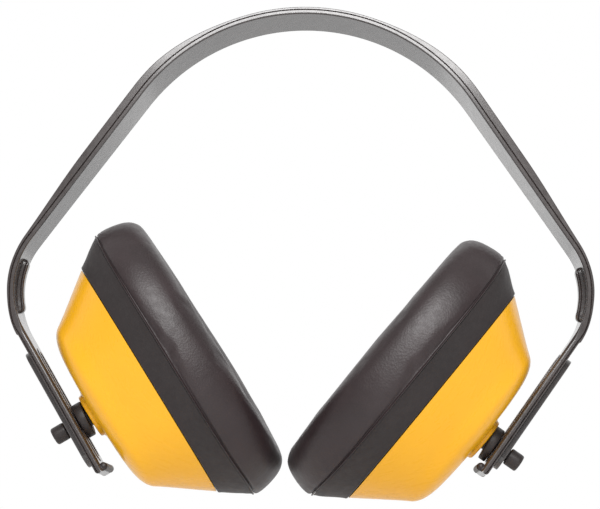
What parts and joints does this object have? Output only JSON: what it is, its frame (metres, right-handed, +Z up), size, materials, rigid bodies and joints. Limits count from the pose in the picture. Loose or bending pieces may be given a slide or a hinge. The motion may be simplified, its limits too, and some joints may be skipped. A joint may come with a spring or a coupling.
{
  "type": "earmuff hearing protector",
  "caption": "Passive earmuffs: a black sprung headband with slotted arms, sliding and swivelling yellow oval ear cups, and soft black sealing cushions.",
  "frame": {"origin": "middle of the headband's inner face at the top of its crown", "axes": "+Z up as worn, X from ear to ear, -Y the side that faces the viewer; the cups hang at -Z, the left one at -X and the right one at +X as seen from -Y"},
  "size_m": [0.1865, 0.0779, 0.1592],
  "materials": {
    "band": "satin moulded plastic, fine grain",
    "pivot": "moulded plastic",
    "shell": "glossy moulded plastic, yellow",
    "retainer": "moulded plastic",
    "acoustic_foam": "open-cell foam",
    "plate": "moulded plastic",
    "skirt": "matt soft PVC skin",
    "cushion_foam": "soft foam",
    "cover": "satin soft PVC skin"
  },
  "bodies": {
    "band": {"headband_crown": "band"},
    "arm_left": {"headband_arm_left": "band"},
    "slider_left": {"adjuster_pin_left": "pivot"},
    "collar_left": {"pivot_collar_left": "pivot"},
    "cup_left": {"cup_shell_left": "shell", "socket_retainer_left": "retainer", "acoustic_foam_left": "acoustic_foam", "cushion_plate_left": "plate", "cushion_skirt_left": "skirt", "cushion_foam_left": "cushion_foam", "cushion_cover_left": "cover"},
    "arm_right": {"headband_arm_right": "band"},
    "slider_right": {"adjuster_pin_right": "pivot"},
    "collar_right": {"pivot_collar_right": "pivot"},
    "cup_right": {"cup_shell_right": "shell", "socket_retainer_right": "retainer", "acoustic_foam_right": "acoustic_foam", "cushion_plate_right": "plate", "cushion_skirt_right": "skirt", "cushion_foam_right": "cushion_foam", "cushion_cover_right": "cover"}
  },
  "joints": [
    {"name": "flex_left", "type": "hinge", "parent": "band", "child": "arm_left", "pos_m": [-0.0418, 0, -0.011], "axis": [0, 1, 0], "range_deg": [0, 30], "stiffness_Nm_per_rad": 2.5},
    {"name": "slide_left", "type": "slide", "parent": "arm_left", "child": "slider_left", "axis": [-0.5045, 0, 0.8634], "range_m": [0, 0.015]},
    {"name": "swivel_left", "type": "hinge", "parent": "slider_left", "child": "collar_left", "pos_m": [-0.07167, 0, -0.13161], "axis": [0.8634, 0, 0.5045], "range_deg": [-30, 30]},
    {"name": "tilt_left", "type": "hinge", "parent": "collar_left", "child": "cup_left", "pos_m": [-0.06571, 0, -0.12813], "axis": [-0.0385, 0.999, -0.024], "range_deg": [0, 8]},
    {"name": "flex_right", "type": "hinge", "parent": "band", "child": "arm_right", "pos_m": [0.04171, 0, -0.01112], "axis": [0, -1, 0], "range_deg": [0, 30], "stiffness_Nm_per_rad": 2.5},
    {"name": "slide_right", "type": "slide", "parent": "arm_right", "child": "slider_right", "axis": [0.5807, 0, 0.8141], "range_m": [0, 0.019]},
    {"name": "swivel_right", "type": "hinge", "parent": "slider_right", "child": "collar_right", "pos_m": [0.06063, 0, -0.13965], "axis": [-0.8141, 0, 0.5807], "range_deg": [-30, 30]},
    {"name": "tilt_right", "type": "hinge", "parent": "collar_right", "child": "cup_right", "pos_m": [0.05502, 0, -0.13564], "axis": [0.0322, -0.9991, -0.0267], "range_deg": [0, 8]}
  ],
  "couplings": [
    {"joint": "flex_right", "follows": "flex_left", "ratio": 1}
  ]
}
